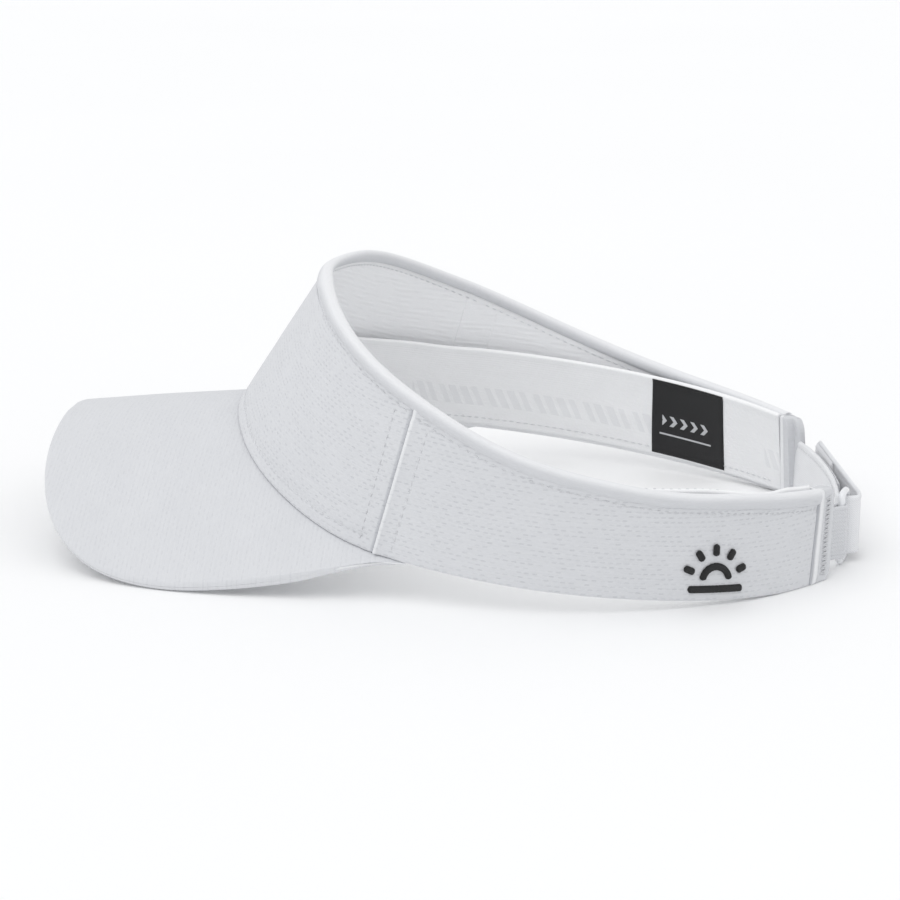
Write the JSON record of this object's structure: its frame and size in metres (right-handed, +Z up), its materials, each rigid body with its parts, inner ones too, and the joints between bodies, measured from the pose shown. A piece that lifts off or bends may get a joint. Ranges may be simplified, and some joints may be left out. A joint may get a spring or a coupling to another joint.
{
  "type": "sun visor",
  "caption": "Adjustable sun visor with an open head band, a curved brim, an elastic sweatband and a hook-and-loop strap through a ring at the back.",
  "frame": {"origin": "on the surface the visor rests on, below the middle of its outline", "axes": "-Y is the wearer's front and the brim's tip, +X the wearer's left, +Z up"},
  "size_m": [0.1819, 0.2545, 0.0849],
  "materials": {
    "white_knit": "foam-backed white mesh knit with small staggered pinholes",
    "buckram": "stiff open white mesh",
    "lining": "thin white knit with fine ribs across",
    "seam_tape": "flat white woven tape",
    "binding": "smooth white knit folded over the edge",
    "sweatband_elastic": "soft white woven elastic with a faint tone-on-tone pattern",
    "label": "black damask-woven label",
    "embroidery_thread": "black rayon satin stitch",
    "white_thread": "white polyester sewing thread",
    "brim_board": "curved white moulded board",
    "strap_webbing": "smooth white brushed strap",
    "loop_pile": "white looped pile",
    "hook_tape": "white moulded hooks",
    "ribbed_webbing": "white webbing with ribs along it",
    "ring_plastic": "smooth white moulded plastic"
  },
  "bodies": {
    "visor": {"front_panel": "white_knit", "left_side_panel": "white_knit", "right_side_panel": "white_knit", "front_buckram": "buckram", "front_lining": "lining", "left_side_lining": "lining", "right_side_lining": "lining", "left_seam_tape": "seam_tape", "right_seam_tape": "seam_tape", "top_binding": "binding", "sweatband": "sweatband_elastic", "woven_label": "label", "embroidered_emblem": "embroidery_thread", "brim_board": "brim_board", "brim_top_cover": "white_knit", "brim_under_cover": "white_knit", "left_end_tab": "binding", "right_end_tab": "binding", "left_bartack": "white_thread", "right_bartack": "white_thread", "strap_inner": "strap_webbing", "strap_fold": "strap_webbing", "loop_patch": "loop_pile", "webbing_loop": "ribbed_webbing"},
    "ring": {"slide_ring": "ring_plastic"},
    "strap_tail": {"strap_tail": "strap_webbing"},
    "strap_tab": {"strap_tab": "strap_webbing", "hook_patch": "hook_tape"}
  },
  "joints": [
    {"name": "strap_slide", "type": "slide", "parent": "visor", "child": "strap_tail", "axis": [-0.9826, -0.1857, 0], "range_m": [-0.015, 0.012]},
    {"name": "strap_peel", "type": "hinge", "parent": "strap_tail", "child": "strap_tab", "pos_m": [-0.01488, 0.12189, 0.012], "axis": [0, 0, -1], "range_deg": [0, 110]},
    {"name": "ring_swivel", "type": "hinge", "parent": "visor", "child": "ring", "pos_m": [0.0256, 0.1212, 0.01185], "axis": [0, 0, 1], "range_deg": [-4, 4]}
  ]
}
